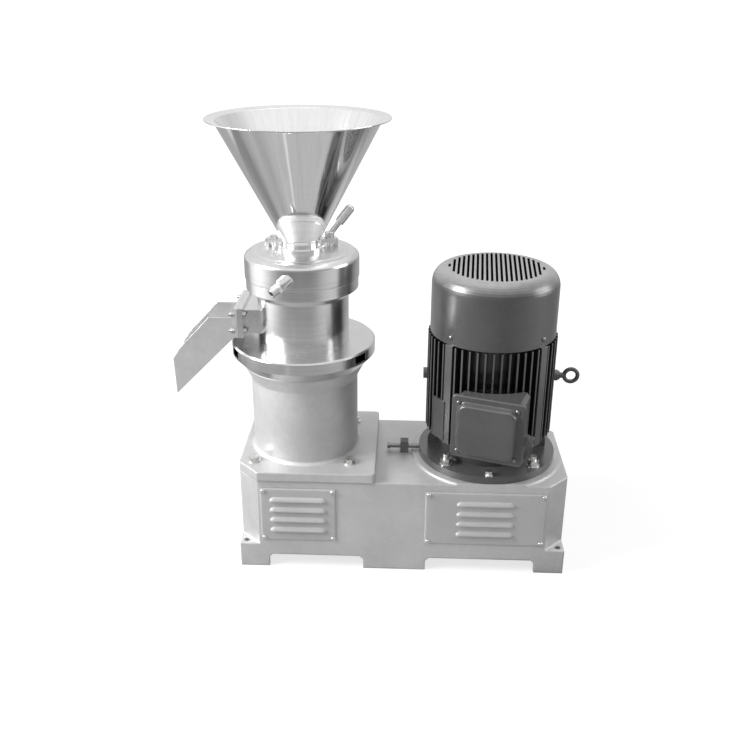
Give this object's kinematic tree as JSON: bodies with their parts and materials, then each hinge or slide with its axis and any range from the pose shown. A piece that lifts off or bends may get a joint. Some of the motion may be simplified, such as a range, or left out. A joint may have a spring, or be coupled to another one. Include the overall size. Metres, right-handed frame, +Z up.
{
  "type": "colloid mill",
  "caption": "Split colloid mill: a cast base carries a grinding head with cone hopper, cap and side chute, belt-driven by a finned flange motor standing beside it.",
  "frame": {"origin": "on the floor, at the middle of the four floor bolt holes", "axes": "+Z up, +X from the mill toward the motor, -Y is the front with the vent covers and the terminal box"},
  "size_m": [0.873, 0.4049, 0.9503],
  "materials": {
    "cast_paint": "silver-grey paint on a fine-grained casting",
    "cover_paint": "silver-grey paint on pressed sheet",
    "polished_steel": "turned and polished stainless steel",
    "mirror_steel": "mirror-polished stainless sheet",
    "sheet_steel": "satin stainless sheet",
    "machined_steel": "machined stainless steel",
    "zinc_fastener": "bright zinc",
    "cast_iron": "dark machined iron",
    "core_steel": "stacked electrical sheet",
    "motor_paint": "dark grey semi-gloss paint",
    "fan_plastic": "moulded black plastic",
    "black_rubber": "fabric-faced rubber"
  },
  "bodies": {
    "frame": {"base_casting": "cast_paint", "left_vent_cover": "cover_paint", "right_vent_cover": "cover_paint", "vent_cover_screws": "zinc_fastener", "pedestal": "cast_paint", "pedestal_bolts": "zinc_fastener", "seat_ring": "polished_steel", "mill_body": "polished_steel", "discharge_chute": "sheet_steel", "chute_bolts": "zinc_fastener", "bearing_housing": "cast_iron", "bearing_housing_screws": "zinc_fastener", "upper_spindle_bearing": "machined_steel", "lower_spindle_bearing": "machined_steel", "upper_bearing_cover": "cast_iron", "lower_bearing_cover": "cast_iron", "spindle_seal": "black_rubber", "tension_block": "cast_iron", "v_belts": "black_rubber"},
    "spindle": {"mill_spindle": "machined_steel", "grinding_rotor": "machined_steel", "discharge_impeller": "machined_steel", "rotor_nut": "machined_steel", "driven_pulley": "cast_iron", "driven_pulley_nut": "zinc_fastener"},
    "head": {"adjusting_cap": "polished_steel", "grinding_stator": "machined_steel", "feed_hopper": "mirror_steel", "hopper_clamps": "machined_steel", "clamp_bolt": "zinc_fastener", "cooling_nozzles": "machined_steel"},
    "lever": {"clamp_lever": "machined_steel", "lever_grip": "machined_steel"},
    "motor": {"motor_frame": "motor_paint", "motor_flange_shield": "motor_paint", "motor_top_shield": "motor_paint", "motor_stator_core": "core_steel", "fan_cowl": "motor_paint", "cowl_screws": "zinc_fastener", "terminal_box": "motor_paint", "terminal_cover": "motor_paint", "terminal_screws": "zinc_fastener", "cable_gland": "motor_paint", "eye_bolt": "motor_paint", "motor_bolts": "zinc_fastener", "earth_screw": "zinc_fastener", "lower_motor_bearing": "machined_steel", "upper_motor_bearing": "machined_steel"},
    "motor_rotor": {"motor_shaft": "machined_steel", "motor_rotor_core": "core_steel", "cooling_fan": "fan_plastic", "drive_pulley": "cast_iron", "drive_pulley_nut": "zinc_fastener"},
    "belt_tensioner": {"tension_screw": "cast_iron"}
  },
  "joints": [
    {"name": "motor_slide", "type": "slide", "parent": "frame", "child": "motor", "axis": [1, 0, 0], "range_m": [-0.006, 0.01], "deforming": ["v_belts"]},
    {"name": "motor_spin", "type": "hinge", "parent": "motor", "child": "motor_rotor", "pos_m": [0.186, 0, 0.4], "axis": [0, 0, 1], "continuous": true},
    {"name": "mill_spin", "type": "hinge", "parent": "frame", "child": "spindle", "pos_m": [-0.2185, 0, 0.4], "axis": [0, 0, 1], "continuous": true},
    {"name": "cap_adjust", "type": "hinge", "parent": "frame", "child": "head", "pos_m": [-0.2185, 0, 0.65], "axis": [0, 0, 1], "range_deg": [-20, 90]},
    {"name": "lever_turn", "type": "hinge", "parent": "head", "child": "lever", "pos_m": [-0.16231, 0.0262, 0.705], "axis": [0, 0, 1], "range_deg": [0, 50]},
    {"name": "tension_turn", "type": "hinge", "parent": "motor", "child": "belt_tensioner", "pos_m": [0, 0, 0.228], "axis": [1, 0, 0], "continuous": true}
  ],
  "couplings": [
    {"joint": "mill_spin", "follows": "motor_spin", "ratio": 1.25},
    {"joint": "tension_turn", "follows": "motor_slide", "rad_per_m": 4188.8}
  ]
}
